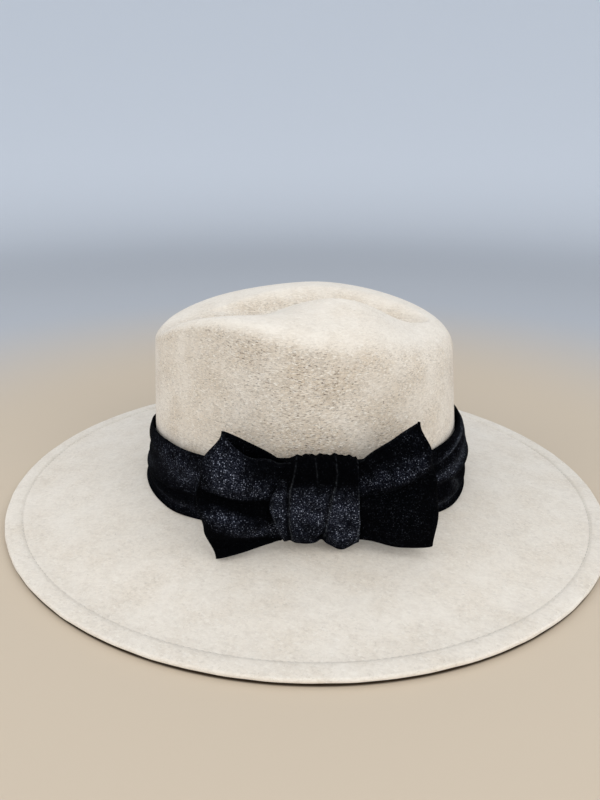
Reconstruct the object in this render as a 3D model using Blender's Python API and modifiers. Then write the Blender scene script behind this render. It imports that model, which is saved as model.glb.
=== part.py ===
"""Wide-brimmed wool felt fedora with a draped velvet band and a flat velvet bow.

Metres, +Z up. The hat rests on the plane z = 0, its brim centred on the origin.
+X points to the back of the hat, and -Y to the wearer's left, where the bow is.
"""
import math
from collections import namedtuple

import bpy
import numpy as np

# Brim, measured over its turned-under edge
BRIM_LENGTH = 0.370
BRIM_WIDTH = 0.339
HEM_WIDTH = 0.0115
HEM_GAP = 0.0004
FELT = 0.0018

# Crown: its wall is measured at the foot, its height is that of the ridge over the surface
CROWN_FRONT = 0.0950
CROWN_BACK = 0.0985
CROWN_HALF_WIDTH = 0.0835
CROWN_HEIGHT = 0.1250
FOOT_HEIGHT = 0.0120
FOOT_RADIUS = 0.0060
CORNER_RADIUS = 0.0100
FRONT_LEAN = 0.0080
BACK_LEAN = 0.0123
SIDE_LEAN = 0.0092
RIDGE_DROP_FRONT = 0.0210
RIDGE_DROP_BACK = 0.0195
RIDGE_DROP_SIDE = 0.0120

# How the top rolls off, as powers of the way out from its middle, the weight of the rolled
# top edge's outer corner, and the share of the height where the dents have faded out
FRONT_ROLL = 1.8
BACK_ROLL = 1.6
SIDE_ROLL = 4.0
CORNER_WEIGHT = 0.72
RIM_SHARE = 0.95
DENTS_FROM = 0.45
DENTS_SPAN = 0.40

# Teardrop dent along the top, pointed at the front and round at the back
DENT_DEPTH = 0.0170
DENT_FRONT = 0.0600
DENT_BACK = 0.0740
DENT_HALF_WIDTH = 0.0350

# Its shape: where it is widest, as a share of its length, how its point tapers, and how
# much of its half width the sloping side takes
DENT_WIDEST = 0.66
DENT_TAPER = 1.2
DENT_SIDE = 1.15

# Velvet band and bow
VELVET = 0.0014
SEAM_GAP = 0.0003
FLARE_SHARE = 1.6
BAND_HEIGHT = 0.0400
BAND_PUFF = 0.0040
BOW_BEARING = 13.0
BOW_HEIGHT = 0.0670
LEFT_REACH = 0.0605
RIGHT_REACH = 0.0590
LOOP_DEPTH = 0.0120
KNOT_HEIGHT = 0.0465
KNOT_LENGTH = 0.0420
KNOT_DEPTH = 0.0130
KNOT_LIFT = 0.0060
KNOT_SAG = 0.0045
GATHER_DEPTH = 0.0010
WAIST_SHARE = 0.80

# Number of faces round and across each piece
ROUND_STEPS = 56
LOOP_STEPS = 20
LOOP_ROWS = 12
KNOT_STEPS = 22
KNOT_ROWS = 14

# Radius of the crown's top edge at each bearing, as a share of CORNER_RADIUS
Corner = namedtuple("Corner", "bearing radius")
CORNERS = (
    Corner(-180, 1.00),
    Corner(-150, 0.85),
    Corner(-110, 0.90),
    Corner(-75, 1.40),
    Corner(-45, 2.20),
    Corner(-15, 1.40),
    Corner(0, 1.10),
    Corner(60, 1.80),
    Corner(120, 1.60),
    Corner(180, 1.00),
)

# Low and high places of the top: along and its spread are shares of CROWN_BACK,
# across and its spread of CROWN_HALF_WIDTH, and rise of DENT_DEPTH
Lump = namedtuple("Lump", "along across spread_along spread_across rise")
LUMPS = (
    Lump(-0.41, -0.31, 0.28, 0.24, -0.88),
    Lump(0.34, -0.29, 0.24, 0.24, 0.53),
    Lump(0.69, -0.34, 0.12, 0.22, -0.29),
    Lump(-0.60, -0.62, 0.20, 0.16, 0.20),
)

# Finger dents in the two sides of the front: side is -1 for the wearer's left,
# along and its spread are shares of CROWN_FRONT, depth of DENT_DEPTH. They are deepest
# from PINCH_LEVEL up, fade over PINCH_FADE below it, as shares of CROWN_HEIGHT, and start
# at PINCH_INNER and are full PINCH_SPAN further out, as shares of CROWN_HALF_WIDTH
Pinch = namedtuple("Pinch", "side along spread depth")
PINCHES = (
    Pinch(-1, -0.44, 0.28, 0.50),
    Pinch(1, -0.44, 0.31, 0.47),
)
PINCH_LEVEL = 0.82
PINCH_FADE = 0.33
PINCH_INNER = 0.24
PINCH_SPAN = 0.54

# Rings of the brim, crown wall and top, as shares of the way across each
BRIM_RINGS = (0.0, 0.2, 0.45, 0.75)
HEM_ARC_ANGLES = (0, 45, 90, 135, 180)
FOOT_ARC_ANGLES = (0, 30, 60)
WALL_RINGS = (0.0, 0.2, 0.4, 0.6, 0.8)
CORNER_RINGS = (0.0, 0.33, 0.66)
TOP_RINGS = (1.0, 0.92, 0.84, 0.75, 0.65, 0.54, 0.42, 0.28, 0.14)

# The band at each bearing: bottom is a share of FOOT_RADIUS over the foot, top a share of
# BAND_HEIGHT over the foot, and low, middle and high are shares of BAND_PUFF
BandFold = namedtuple("BandFold", "bearing bottom top low middle high")
BAND_FOLDS = (
    BandFold(-180, 0.25, 0.86, 1.1, 0.30, 0.35),
    BandFold(-155, 0.20, 0.93, 1.2, 0.10, 0.45),
    BandFold(-130, 0.20, 0.94, 1.2, 0.10, 0.60),
    BandFold(-105, 0.50, 0.95, 0.8, 0.30, 0.40),
    BandFold(-75, 0.90, 0.98, 0.2, 0.15, 0.10),
    BandFold(-45, 0.70, 1.00, 0.6, 0.40, 0.30),
    BandFold(-20, 0.40, 1.06, 1.0, 1.40, 0.70),
    BandFold(5, 0.40, 1.12, 0.9, 1.60, 1.10),
    BandFold(60, 0.40, 1.02, 0.8, 0.90, 0.70),
    BandFold(120, 0.40, 0.98, 1.0, 0.50, 0.70),
    BandFold(180, 0.25, 0.86, 1.1, 0.30, 0.35),
)
BAND_ROWS = (0.0, 0.07, 0.20, 0.34, 0.48, 0.62, 0.76, 0.91, 1.0)

# Height of each of the band's lengthwise folds, as a share of the band's height there
FoldHeight = namedtuple("FoldHeight", "column centre")
FOLD_HEIGHTS = (
    FoldHeight("low", 0.22),
    FoldHeight("middle", 0.52),
    FoldHeight("high", 0.82),
)
FOLD_SPREAD = 0.12

# How squarely a loop's ring and the knot's ring are bent, as powers, and how much shallower
# a loop is at its top and bottom edges
LOOP_BEND = 0.7
KNOT_BEND = 0.5
BACK_BEND = 4.0
EDGE_SQUEEZE = 0.30

# The share of a loop over which it opens, how fast its bottom edge falls, and how far
# forward of the waist it stands, as a share of LOOP_DEPTH
OPENING_SHARE = 0.6
BOTTOM_FALL = 0.6
LOOP_FORWARD = 0.2

# The bow's two loops: side is -1 towards the front of the hat, bottom and top are the
# heights of the outer corners over the foot, as shares of BOW_HEIGHT, and kick is how far
# the bottom corner stands out from the hat, as a share of LOOP_DEPTH
Loop = namedtuple("Loop", "name side reach bottom top kick")
LEFT_LOOP = Loop("bow_left_loop", -1, LEFT_REACH, -0.010, 1.00, 0.42)
RIGHT_LOOP = Loop("bow_right_loop", 1, RIGHT_REACH, 0.060, 1.06, 0.20)

# The outer fold of each loop: height is a share of the loop's height, and the other columns
# shares of its reach
Edge = namedtuple("Edge", "height bow_left_loop bow_right_loop")
LOOP_EDGES = (
    Edge(0.00, 0.868, 0.975),
    Edge(0.25, 0.955, 1.000),
    Edge(0.50, 1.000, 0.970),
    Edge(0.75, 0.950, 0.900),
    Edge(1.00, 0.777, 0.790),
)

# Folds on the front of each loop: start and end are heights at the knot and at the outer
# fold, as shares of the loop's height there, and rise is a share of LOOP_DEPTH
LoopFold = namedtuple("LoopFold", "start end spread rise")
LEFT_FOLDS = (
    LoopFold(0.62, 0.80, 0.16, 0.30),
    LoopFold(0.48, 0.56, 0.07, -0.42),
    LoopFold(0.28, 0.40, 0.12, 0.32),
    LoopFold(0.05, 0.12, 0.10, -0.30),
)
RIGHT_FOLDS = (
    LoopFold(0.62, 0.74, 0.10, 0.34),
    LoopFold(0.50, 0.62, 0.06, -0.34),
    LoopFold(0.25, 0.30, 0.22, 0.16),
)

# Edges of the knot's front: height is a share of KNOT_HEIGHT, left and right are shares of
# KNOT_LENGTH from the bow's middle
KnotEdge = namedtuple("KnotEdge", "height left right")
KNOT_EDGES = (
    KnotEdge(0.00, 0.43, 0.45),
    KnotEdge(0.25, 0.54, 0.46),
    KnotEdge(0.50, 0.60, 0.45),
    KnotEdge(0.80, 0.48, 0.43),
    KnotEdge(1.00, 0.38, 0.43),
)

# Half length of the knot's back, the place and spread of its sagging lobe and the spread of
# a pleat's groove, as shares of KNOT_LENGTH
BACK_HALF = 0.42
SAG_PLACE = 0.26
SAG_SPREAD = 0.12
GROOVE_SPREAD = 0.045

# Pleats of the knot: where each groove runs at the top, middle and bottom, as shares of
# KNOT_LENGTH from the bow's middle, and its depth as a share of GATHER_DEPTH
Groove = namedtuple("Groove", "top middle bottom depth")
GROOVES = (
    Groove(-0.30, -0.42, -0.42, 1.00),
    Groove(-0.10, -0.13, -0.12, 0.60),
    Groove(0.13, 0.15, 0.10, 0.80),
)

FELT_COLOUR = (0.745, 0.700, 0.625, 1.0)
VELVET_COLOUR = (0.004, 0.005, 0.009, 1.0)


def ease(share):
    """Smooth step from 0 to 1 with a flat start and a flat end."""
    share = np.clip(share, 0.0, 1.0)
    return share ** 3 * (share * (6.0 * share - 15.0) + 10.0)


def read_row(rows, key, column, where):
    """Values of a column between the rows of a table, eased from row to row."""
    keys = np.array([getattr(row, key) for row in rows], float)
    values = np.array([getattr(row, column) for row in rows], float)
    row = np.clip(np.searchsorted(keys, where, side="right") - 1, 0, len(keys) - 2)
    share = (where - keys[row]) / (keys[row + 1] - keys[row])
    share = 0.5 - 0.5 * np.cos(np.pi * share)
    return values[row] * (1.0 - share) + values[row + 1] * share


def column_angles(steps):
    """Angles of the columns round the hat, from -180 degrees at the front."""
    return np.linspace(-np.pi, np.pi, steps, endpoint=False)


def half_length(angle):
    """Half length of the crown's foot oval, shorter at the front than at the back."""
    return np.where(np.cos(angle) < 0.0, CROWN_FRONT, CROWN_BACK)


def wall_point(angle, height):
    """Crown wall in plan: an oval that leans in with height."""
    rise = (height - FOOT_HEIGHT) / (CROWN_HEIGHT - FOOT_HEIGHT)
    lean = np.where(np.cos(angle) < 0.0, FRONT_LEAN, BACK_LEAN)
    x = (half_length(angle) - lean * rise) * np.cos(angle)
    y = (CROWN_HALF_WIDTH - SIDE_LEAN * rise) * np.sin(angle)
    return x, y


def wall_normal(angle):
    """Outward direction of the foot oval in plan."""
    x = np.cos(angle) / half_length(angle)
    y = np.sin(angle) / CROWN_HALF_WIDTH
    size = np.hypot(x, y)
    return x / size, y / size


def foot_flare(height):
    """How far the foot's curve carries the wall outwards at a height."""
    above = np.clip((height - FOOT_HEIGHT) / FOOT_RADIUS, 0.0, 1.0)
    return FOOT_RADIUS * (1.0 - np.sqrt(1.0 - (1.0 - above) ** 2))


def top_height(x, y):
    """Undented top: an arch along the hat that rolls off to both sides."""
    front = RIDGE_DROP_FRONT * (np.abs(x) / CROWN_FRONT) ** FRONT_ROLL
    back = RIDGE_DROP_BACK * (np.abs(x) / CROWN_BACK) ** BACK_ROLL
    side = RIDGE_DROP_SIDE * (np.abs(y) / CROWN_HALF_WIDTH) ** SIDE_ROLL
    return CROWN_HEIGHT - np.where(x < 0.0, front, back) - side


def teardrop_width(x):
    """Half width of the dent along the hat: a point, a swelling and a round end."""
    share = np.clip((x + DENT_FRONT) / (DENT_FRONT + DENT_BACK), 0.0, 1.0)
    front = np.sin(0.5 * np.pi * np.clip(share / DENT_WIDEST, 0.0, 1.0)) ** DENT_TAPER
    beyond = (share - DENT_WIDEST) / (1.0 - DENT_WIDEST)
    back = np.sqrt(np.clip(1.0 - beyond ** 2, 0.0, 1.0))
    return DENT_HALF_WIDTH * np.where(share < DENT_WIDEST, front, back)


def dented(x, y, z):
    """Push the teardrop, the lumps and the finger dents into the smooth crown."""
    upper = ease((z / CROWN_HEIGHT - DENTS_FROM) / DENTS_SPAN)
    width = teardrop_width(x)
    reach = np.abs(y) / np.maximum(width, 1e-6)
    dent = DENT_DEPTH * (width / DENT_HALF_WIDTH) * ease(DENT_SIDE * (1.0 - reach))
    new_z = z - np.where(upper > 0.0, dent, 0.0)
    for lump in LUMPS:
        along = (x / CROWN_BACK - lump.along) / lump.spread_along
        across = (y / CROWN_HALF_WIDTH - lump.across) / lump.spread_across
        new_z = new_z + lump.rise * DENT_DEPTH * upper * np.exp(-0.5 * (along ** 2 + across ** 2))
    new_y = y
    for pinch in PINCHES:
        along = (x / CROWN_FRONT - pinch.along) / pinch.spread
        below = np.minimum(z / CROWN_HEIGHT - PINCH_LEVEL, 0.0) / PINCH_FADE
        outer = ease((pinch.side * y / CROWN_HALF_WIDTH - PINCH_INNER) / PINCH_SPAN)
        push = pinch.depth * DENT_DEPTH * outer * np.exp(-0.5 * (along ** 2 + below ** 2))
        new_y = new_y - pinch.side * push
    return x, new_y, new_z


def crown_rings(angle):
    """Rings of the crown from its foot to near its middle, as (x, y, z) arrays."""
    radius = CORNER_RADIUS * read_row(CORNERS, "bearing", "radius", np.degrees(angle))
    rim_x, rim_y = wall_point(angle, RIM_SHARE * CROWN_HEIGHT + 0.0 * angle)
    inset = 1.0 - radius / np.hypot(rim_x, rim_y)
    edge_x = rim_x * inset
    edge_y = rim_y * inset
    edge_z = top_height(edge_x, edge_y)
    step = 0.02
    inner_z = top_height(edge_x * (1.0 - step), edge_y * (1.0 - step))
    slope = (edge_z - inner_z) / (step * np.hypot(edge_x, edge_y))
    peak_z = edge_z + slope * radius
    peak_x, peak_y = wall_point(angle, peak_z)
    wall_z = peak_z - radius
    top_x, top_y = wall_point(angle, wall_z)
    rings = []
    for share in WALL_RINGS:
        z = FOOT_HEIGHT + FOOT_RADIUS + share * (wall_z - FOOT_HEIGHT - FOOT_RADIUS)
        x, y = wall_point(angle, z)
        rings.append((x, y, z))
    for share in CORNER_RINGS:
        start = (1.0 - share) ** 2
        pull = 2.0 * CORNER_WEIGHT * share * (1.0 - share)
        end = share ** 2
        total = start + pull + end
        x = (start * top_x + pull * peak_x + end * edge_x) / total
        y = (start * top_y + pull * peak_y + end * edge_y) / total
        z = (start * wall_z + pull * peak_z + end * edge_z) / total
        rings.append((x, y, z))
    for share in TOP_RINGS:
        x = edge_x * share
        y = edge_y * share
        rings.append((x, y, top_height(x, y)))
    return [dented(*ring) for ring in rings]


def brim_rings(angle):
    """Rings of the hem and brim, from the turned-under edge up to the crown's foot."""
    hem_height = 2.0 * FELT + HEM_GAP
    half_hem = 0.5 * hem_height
    out_x = np.cos(angle) / BRIM_LENGTH
    out_y = np.sin(angle) / BRIM_WIDTH
    size = np.hypot(out_x, out_y)
    out_x = out_x / size
    out_y = out_y / size
    rim_x = 0.5 * BRIM_LENGTH * np.cos(angle)
    rim_y = 0.5 * BRIM_WIDTH * np.sin(angle)

    def hem_ring(inset, height):
        return rim_x - inset * out_x, rim_y - inset * out_y, height + 0.0 * angle

    rings = [hem_ring(HEM_WIDTH, 0.0)]
    for degrees in HEM_ARC_ANGLES:
        turn = math.radians(degrees)
        rings.append(hem_ring(half_hem * (1.0 - math.sin(turn)), half_hem * (1.0 - math.cos(turn))))
    rings.append(hem_ring(HEM_WIDTH, hem_height))
    inner = rings[-1]
    wall_x, wall_y = wall_point(angle, FOOT_HEIGHT + 0.0 * angle)
    normal_x, normal_y = wall_normal(angle)
    foot_x = wall_x + FOOT_RADIUS * normal_x
    foot_y = wall_y + FOOT_RADIUS * normal_y
    for share in BRIM_RINGS[:0:-1]:
        x = foot_x + share * (inner[0] - foot_x)
        y = foot_y + share * (inner[1] - foot_y)
        z = hem_height + (FOOT_HEIGHT - hem_height) * (1.0 - share) ** 1.5
        rings.append((x, y, z + 0.0 * angle))
    for degrees in FOOT_ARC_ANGLES:
        turn = math.radians(degrees)
        flare = FOOT_RADIUS * (1.0 - math.sin(turn))
        height = FOOT_HEIGHT + FOOT_RADIUS * (1.0 - math.cos(turn))
        wall_x, wall_y = wall_point(angle, height + 0.0 * angle)
        rings.append((wall_x + flare * normal_x, wall_y + flare * normal_y, height + 0.0 * angle))
    return rings


def new_object(name, points, faces, material, collection):
    """Mesh object from points and faces, with its faces turned to point outwards."""
    mesh = bpy.data.meshes.new(name)
    mesh.from_pydata([tuple(point) for point in points], [], faces)
    mesh.materials.append(material)
    mesh.shade_smooth()
    thing = bpy.data.objects.new(name, mesh)
    collection.objects.link(thing)
    return thing


def ring_faces(rings, columns):
    """Four-sided faces between rings of points that each close on themselves."""
    faces = []
    for ring in range(rings - 1):
        here = ring * columns
        there = here + columns
        for column in range(columns):
            after = (column + 1) % columns
            faces.append((here + column, here + after, there + after, there + column))
    return faces


def add_wall(thing, thickness):
    """Give an open cloth or felt skin its thickness, on its inner side."""
    wall = thing.modifiers.new("wall", "SOLIDIFY")
    wall.thickness = thickness
    wall.offset = -1.0
    wall.use_even_offset = True
    wall.use_rim = True


def make_material(name, colour, roughness):
    material = bpy.data.materials.new(name)
    material.use_nodes = True
    shader = material.node_tree.nodes["Principled BSDF"]
    shader.inputs["Base Color"].default_value = colour
    shader.inputs["Roughness"].default_value = roughness
    shader.inputs["Metallic"].default_value = 0.0
    return material


def make_felt_body(collection):
    """Crown and brim, blocked from one felt hood, with the brim's edge turned under."""
    angle = column_angles(ROUND_STEPS)
    rings = brim_rings(angle) + crown_rings(angle)
    points = np.concatenate([np.stack(ring, axis=-1) for ring in rings])
    middle = dented(np.zeros(1), np.zeros(1), top_height(np.zeros(1), np.zeros(1)))
    points = np.concatenate([points, np.stack(middle, axis=-1)])
    faces = ring_faces(len(rings), ROUND_STEPS)
    last_ring = (len(rings) - 1) * ROUND_STEPS
    for column in range(ROUND_STEPS):
        after = (column + 1) % ROUND_STEPS
        faces.append((last_ring + column, last_ring + after, len(points) - 1))
    felt = make_material("wool_felt", FELT_COLOUR, 0.95)
    body = new_object("felt_body", points, faces, felt, collection)
    add_wall(body, FELT)


def band_skin(angle, share):
    """Outer face of the band at an angle, a share of the way up from its bottom edge."""
    bearing = np.degrees(angle)
    bottom = FOOT_HEIGHT + FOOT_RADIUS * read_row(BAND_FOLDS, "bearing", "bottom", bearing)
    top = FOOT_HEIGHT + BAND_HEIGHT * read_row(BAND_FOLDS, "bearing", "top", bearing)
    z = bottom + share * (top - bottom)
    puff = 0.0
    for fold in FOLD_HEIGHTS:
        swell = np.exp(-0.5 * ((share - fold.centre) / FOLD_SPREAD) ** 2)
        puff = puff + read_row(BAND_FOLDS, "bearing", fold.column, bearing) * swell
    stand = SEAM_GAP + VELVET + FLARE_SHARE * foot_flare(z) + BAND_PUFF * puff
    x, y = wall_point(angle, z)
    normal_x, normal_y = wall_normal(angle)
    return x + stand * normal_x, y + stand * normal_y, z


def make_band(collection, velvet):
    """Velvet strip drawn round the crown in soft lengthwise folds."""
    angle = column_angles(ROUND_STEPS)
    rings = [band_skin(angle, share) for share in BAND_ROWS]
    points = np.concatenate([np.stack(ring, axis=-1) for ring in rings])
    band = new_object("hat_band", points, ring_faces(len(rings), ROUND_STEPS), velvet, collection)
    add_wall(band, VELVET)


def bow_frame():
    """Middle of the bow on the crown's wall, its outward direction and its length."""
    bearing = math.radians(BOW_BEARING)
    outward = np.array([math.sin(bearing), -math.cos(bearing), 0.0])
    along = np.array([math.cos(bearing), math.sin(bearing), 0.0])
    height = FOOT_HEIGHT + 0.5 * BAND_HEIGHT
    angle = math.atan2(-math.cos(bearing) * CROWN_HALF_WIDTH, math.sin(bearing) * CROWN_BACK)
    x, y = wall_point(np.array(angle), height)
    return np.array([float(x), float(y), 0.0]), outward, along


def to_hat(along_shift, out_shift, height):
    """Turn places in the bow's own frame into places on the hat."""
    middle, outward, along = bow_frame()
    points = middle + np.multiply.outer(along_shift, along) + np.multiply.outer(out_shift, outward)
    points[..., 2] = height
    return points


def knot_rounding(level):
    """How far the knot's back curves forward at a level, from 0 at its bottom to 1 at its top."""
    edge = np.clip(np.abs(2.0 * level - 1.0), 0.0, 1.0)
    return 0.5 * KNOT_DEPTH * (1.0 - (1.0 - edge ** BACK_BEND) ** (1.0 / BACK_BEND))


def knot_back():
    """Place of the knot's back over the crown's wall: one seam gap clear of the band."""
    middle, outward, _ = bow_frame()
    angle = column_angles(ROUND_STEPS)[:, None]
    x, y, z = band_skin(angle, np.array(BAND_ROWS)[None, :])
    stand = (x - middle[0]) * outward[0] + (y - middle[1]) * outward[1]
    level = (z - FOOT_HEIGHT - KNOT_LIFT) / KNOT_HEIGHT
    return float((stand - knot_rounding(level)).max()) + SEAM_GAP


def make_loop(loop, folds, collection, velvet):
    """One bow loop: a flattened ring of velvet, gathered where the knot holds it."""
    round_angle = np.linspace(0.0, 2.0 * np.pi, LOOP_STEPS, endpoint=False)
    row = np.linspace(0.0, 1.0, LOOP_ROWS)[:, None]
    across = 0.5 - 0.5 * np.cos(round_angle)[None, :]
    depth = np.sin(round_angle)[None, :]
    depth = np.sign(depth) * np.abs(depth) ** LOOP_BEND
    outer = loop.reach * read_row(LOOP_EDGES, "height", loop.name, row)
    inner = 2.0 * SEAM_GAP
    along = inner + across * (outer - inner)
    half_knot = 0.5 * KNOT_LENGTH
    open_share = np.clip((along - half_knot) / (outer - half_knot), 0.0, 1.0)
    knot_bottom = FOOT_HEIGHT + KNOT_LIFT
    waist_half_height = 0.5 * KNOT_HEIGHT * WAIST_SHARE
    waist_bottom = knot_bottom + 0.5 * KNOT_HEIGHT - waist_half_height
    waist_top = knot_bottom + 0.5 * KNOT_HEIGHT + waist_half_height
    corner_bottom = FOOT_HEIGHT + BOW_HEIGHT * loop.bottom
    corner_top = FOOT_HEIGHT + BOW_HEIGHT * loop.top
    bottom = waist_bottom + open_share ** BOTTOM_FALL * (corner_bottom - waist_bottom)
    top = waist_top + open_share * (corner_top - waist_top)
    height = bottom + row * (top - bottom)
    waist = KNOT_DEPTH - 2.0 * VELVET - GATHER_DEPTH - 2.0 * SEAM_GAP
    opening = ease(open_share / OPENING_SHARE)
    half_depth = 0.5 * (waist + opening * (LOOP_DEPTH - waist))
    squeeze = 1.0 - EDGE_SQUEEZE * (2.0 * row - 1.0) ** 4
    waist_middle = knot_back() + VELVET + SEAM_GAP + 0.5 * waist
    forward = LOOP_FORWARD * opening + loop.kick * open_share * (1.0 - row)
    middle = waist_middle + LOOP_DEPTH * forward
    out = middle + half_depth * squeeze * depth
    front = np.clip(depth, 0.0, 1.0)
    for fold in folds:
        centre = fold.start + open_share * (fold.end - fold.start)
        ridge = np.exp(-0.5 * ((row - centre) / fold.spread) ** 2)
        out = out + fold.rise * LOOP_DEPTH * ridge * opening * front
    points = to_hat(loop.side * along, out, height).reshape(-1, 3)
    faces = ring_faces(LOOP_ROWS, LOOP_STEPS)
    if loop.side < 0:
        faces = [face[::-1] for face in faces]
    ring = new_object(loop.name, points, faces, velvet, collection)
    add_wall(ring, VELVET)


def make_knot(collection, velvet):
    """Short velvet wrap round the bow's waist, pleated from top to bottom."""
    round_angle = np.linspace(0.0, 2.0 * np.pi, KNOT_STEPS, endpoint=False)[None, :]
    column = np.linspace(-0.5, 0.5, KNOT_ROWS)[:, None]
    cosine = np.cos(round_angle)
    sine = np.sin(round_angle)
    rise = np.sign(sine) * np.abs(sine) ** KNOT_BEND
    front = np.sign(cosine) * np.abs(cosine) ** KNOT_BEND
    level = 0.5 + 0.5 * rise
    lobe = np.exp(-0.5 * ((column - SAG_PLACE) / SAG_SPREAD) ** 2)
    sag = KNOT_SAG * lobe * (1.0 - ease(2.5 * level))
    height = FOOT_HEIGHT + KNOT_LIFT + KNOT_HEIGHT * level - sag
    out = knot_back() + 0.5 * KNOT_DEPTH * (1.0 + front)
    outer_side = ease(0.5 + 0.5 * front)
    edge = np.where(column < 0.0, read_row(KNOT_EDGES, "height", "left", level),
                    read_row(KNOT_EDGES, "height", "right", level))
    along = KNOT_LENGTH * 2.0 * column * (BACK_HALF + (edge - BACK_HALF) * outer_side)
    for groove in GROOVES:
        upper = groove.middle + np.clip(rise, 0.0, 1.0) * (groove.top - groove.middle)
        lower = groove.middle + np.clip(-rise, 0.0, 1.0) * (groove.bottom - groove.middle)
        centre = np.where(rise > 0.0, upper, lower)
        line = np.exp(-0.5 * ((column - centre) / GROOVE_SPREAD) ** 2)
        out = out - groove.depth * GATHER_DEPTH * line * outer_side
    points = to_hat(along, out, height).reshape(-1, 3)
    faces = [face[::-1] for face in ring_faces(KNOT_ROWS, KNOT_STEPS)]
    knot = new_object("bow_knot", points, faces, velvet, collection)
    add_wall(knot, VELVET)


def main():
    for thing in list(bpy.data.objects):
        bpy.data.objects.remove(thing, do_unlink=True)
    collection = bpy.data.collections.new("felt_fedora")
    bpy.context.scene.collection.children.link(collection)
    velvet = make_material("black_velvet", VELVET_COLOUR, 0.85)
    make_felt_body(collection)
    make_band(collection, velvet)
    make_loop(LEFT_LOOP, LEFT_FOLDS, collection, velvet)
    make_loop(RIGHT_LOOP, RIGHT_FOLDS, collection, velvet)
    make_knot(collection, velvet)


main()
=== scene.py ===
"""Looks of a wide-brimmed wool felt fedora with a draped velvet band and a flat velvet bow.

Metres, +Z up, as packed: the brim lies on z = 0, +X is the back of the hat and -Y the
wearer's left, where the bow is. The sections follow the hat as it is made: the felt, the
stitched hem, the loose fibres of the felt, the band, the bow's loops and knot, and then
the floor, the light and the camera.
"""
import math

import bpy
import numpy as np
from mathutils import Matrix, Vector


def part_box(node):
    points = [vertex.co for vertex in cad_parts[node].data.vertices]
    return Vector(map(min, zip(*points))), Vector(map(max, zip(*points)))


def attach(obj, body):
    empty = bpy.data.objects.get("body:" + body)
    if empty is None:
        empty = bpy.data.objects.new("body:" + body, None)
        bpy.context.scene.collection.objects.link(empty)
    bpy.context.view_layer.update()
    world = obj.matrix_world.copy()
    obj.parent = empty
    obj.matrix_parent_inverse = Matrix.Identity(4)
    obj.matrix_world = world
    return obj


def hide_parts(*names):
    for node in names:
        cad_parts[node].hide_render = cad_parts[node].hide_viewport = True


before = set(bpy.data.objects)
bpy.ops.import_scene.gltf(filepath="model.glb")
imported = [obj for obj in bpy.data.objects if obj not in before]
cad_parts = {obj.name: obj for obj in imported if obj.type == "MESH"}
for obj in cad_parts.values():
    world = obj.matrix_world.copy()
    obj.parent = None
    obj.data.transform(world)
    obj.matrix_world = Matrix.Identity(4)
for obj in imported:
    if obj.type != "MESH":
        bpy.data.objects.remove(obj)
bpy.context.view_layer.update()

# Crown and brim: one hood of pressed wool felt, blocked on a wooden form into a teardrop
# crown with a finger dent on each side of its front. The brim is cut to an oval and its
# edge is turned under. There is no seam between crown and brim.
FELT = 0.0018
felt_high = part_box("felt_body")[1]
BRIM_HALF_LENGTH = felt_high[0]
BRIM_HALF_WIDTH = felt_high[1]
HEM_WIDTH = 0.0115
HEM_HEIGHT = 0.0040
HEM_LIFT = 0.0014
HEM_PLUMP = 0.00028
HEM_STEP = 0.00045
STITCH_INSET = 0.0099
GROOVE_DEPTH = 0.00042
RIM_WAVER = 0.00006
SLACK = 0.00045
CROWN_FRONT = 0.0950
CROWN_BACK = 0.0985
CROWN_HALF_WIDTH = 0.0835
CROWN_HEIGHT = 0.1250
FOOT_HEIGHT = 0.0120
FOOT_RADIUS = 0.0060
WALL_LEAN_FRONT = 0.0080
WALL_LEAN_BACK = 0.0123
WALL_LEAN_SIDE = 0.0092
ARCH_FRONT = 0.0210
ARCH_BACK = 0.0195
ARCH_SIDE = 0.0120
DENT_START = -0.060
DENT_LENGTH = 0.134
DENT_WIDEST = 0.66
DENT_HALF_WIDTH = 0.0350
DENT_DEPTH = 0.0170
FELT_COLUMNS = 300

# bearing, radius of the crown's top edge in metres
CORNERS = np.array([
    (-180, 0.0064), (-150, 0.0056), (-110, 0.0052), (-75, 0.0074), (-45, 0.0170),
    (-15, 0.0130), (0, 0.0110), (60, 0.0180), (120, 0.0130), (180, 0.0060),
])
# along, across, spread along, spread across, rise, as shares of the crown's back length,
# its half width and the dent's depth
LUMPS = (
    (-0.41, -0.31, 0.28, 0.24, -0.72),
    (0.34, -0.29, 0.24, 0.24, 0.53),
    (0.68, -0.37, 0.15, 0.20, -0.34),
    (-0.60, -0.62, 0.20, 0.16, 0.20),
    (-0.30, -0.80, 0.28, 0.17, 0.32),
)
# side, along, spread, depth, as shares of the crown's front length and the dent's depth
PINCHES = ((-1, -0.44, 0.28, 0.50), (1, -0.44, 0.31, 0.47))


def ease(share):
    """Smooth step from 0 to 1 with a flat start and a flat end."""
    share = np.clip(share, 0.0, 1.0)
    return share ** 3 * (share * (6.0 * share - 15.0) + 10.0)


def read_table(table, column, where):
    """Values of a column between the rows of a table, eased by a cosine from row to row."""
    keys, values = table[:, 0], table[:, column]
    row = np.clip(np.searchsorted(keys, where, side="right") - 1, 0, len(keys) - 2)
    share = 0.5 - 0.5 * np.cos(np.pi * (where - keys[row]) / (keys[row + 1] - keys[row]))
    return values[row] * (1.0 - share) + values[row + 1] * share


def wall_point(angle, height):
    """Crown wall in plan: an oval with a shorter front half, leaning in as it rises."""
    rise = (height - FOOT_HEIGHT) / (CROWN_HEIGHT - FOOT_HEIGHT)
    front = np.cos(angle) < 0.0
    length = np.where(front, CROWN_FRONT - WALL_LEAN_FRONT * rise,
                      CROWN_BACK - WALL_LEAN_BACK * rise)
    width = CROWN_HALF_WIDTH - WALL_LEAN_SIDE * rise
    return length * np.cos(angle), width * np.sin(angle)


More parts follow.
